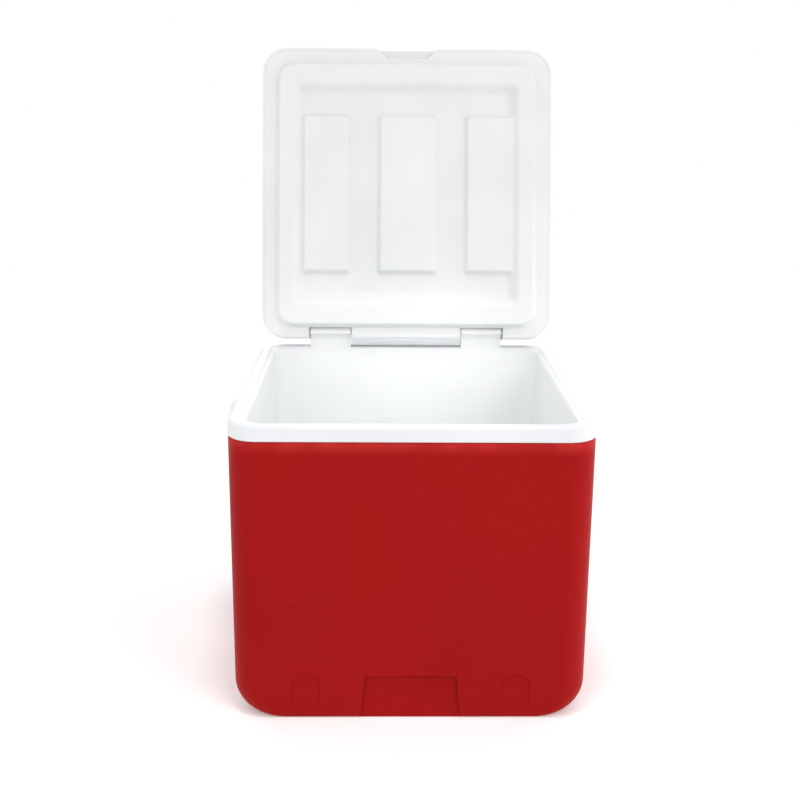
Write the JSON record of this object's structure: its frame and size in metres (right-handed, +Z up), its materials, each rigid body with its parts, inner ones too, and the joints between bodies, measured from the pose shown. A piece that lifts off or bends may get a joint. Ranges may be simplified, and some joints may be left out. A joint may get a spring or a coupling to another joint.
{
  "type": "wheeled cooler",
  "caption": "Square insulated cooler box with hinged lid, side swing handles, rear pull handle, two rear wheels and a screw-in drain plug.",
  "frame": {"origin": "centre of the flat base, on the ground", "axes": "+Z up, the front faces -Y, the lid hinge and the wheel axle run along X at the rear (+Y)"},
  "size_m": [0.416, 0.4688, 0.7078],
  "materials": {
    "red_body": "fine satin moulding",
    "white_plastic": "satin moulding",
    "foam": "cut foam",
    "steel": "zinc plated",
    "black_plastic": "fine texture",
    "grey_plastic": "fine texture",
    "tyre": "matt",
    "seal": "matt"
  },
  "bodies": {
    "box": {"axle_bush_left": "black_plastic", "axle_bush_right": "black_plastic", "axle_cap_left": "black_plastic", "axle_cap_right": "black_plastic", "axle_washer_left": "steel", "axle_washer_right": "steel", "body_foam": "foam", "body_shell": "red_body", "drain_fitting": "white_plastic", "drain_seal": "seal", "handle_boss_left": "white_plastic", "handle_boss_right": "white_plastic", "handle_pin_left": "steel", "handle_pin_right": "steel", "handle_screw_left_lower": "steel", "handle_screw_left_upper": "steel", "handle_screw_right_lower": "steel", "handle_screw_right_upper": "steel", "hinge_pin_left": "steel", "hinge_pin_right": "steel", "liner_tub": "white_plastic", "pull_bracket_left": "black_plastic", "pull_bracket_right": "black_plastic", "pull_pin_left": "steel", "pull_pin_right": "steel", "pull_screw_left_lower": "steel", "pull_screw_left_upper": "steel", "pull_screw_right_lower": "steel", "pull_screw_right_upper": "steel", "wheel_axle": "steel"},
    "lid": {"lid_foam": "foam", "lid_liner": "white_plastic", "lid_shell": "white_plastic"},
    "handle_right": {"handle_loop_right": "white_plastic"},
    "handle_left": {"handle_loop_left": "white_plastic"},
    "pull_handle": {"pull_arm_left": "grey_plastic", "pull_arm_right": "grey_plastic", "pull_bar": "steel", "pull_grip": "black_plastic"},
    "wheel_right": {"wheel_hub_right": "grey_plastic", "wheel_tyre_right": "tyre"},
    "wheel_left": {"wheel_hub_left": "grey_plastic", "wheel_tyre_left": "tyre"},
    "plug": {"drain_plug": "white_plastic"}
  },
  "joints": [
    {"name": "lid_hinge", "type": "hinge", "parent": "box", "child": "lid", "pos_m": [0, 0.1825, 0.3407], "axis": [1, 0, 0], "range_deg": [0, 101]},
    {"name": "handle_right_swing", "type": "hinge", "parent": "box", "child": "handle_right", "pos_m": [0.1995, 0, 0.271], "axis": [0, -1, 0], "range_deg": [0, 110]},
    {"name": "handle_left_swing", "type": "hinge", "parent": "box", "child": "handle_left", "pos_m": [-0.1995, 0, 0.271], "axis": [0, 1, 0], "range_deg": [0, 110]},
    {"name": "pull_handle_swing", "type": "hinge", "parent": "box", "child": "pull_handle", "pos_m": [0, 0.212, 0.278], "axis": [1, 0, 0], "range_deg": [0, 150]},
    {"name": "wheel_right_spin", "type": "hinge", "parent": "box", "child": "wheel_right", "pos_m": [0.153, 0.162, 0.047], "axis": [1, 0, 0], "continuous": true},
    {"name": "wheel_left_spin", "type": "hinge", "parent": "box", "child": "wheel_left", "pos_m": [-0.153, 0.162, 0.047], "axis": [1, 0, 0], "continuous": true},
    {"name": "drain_plug_pull", "type": "slide", "parent": "box", "child": "plug", "axis": [1, 0, 0], "range_m": [0, 0.03]}
  ]
}
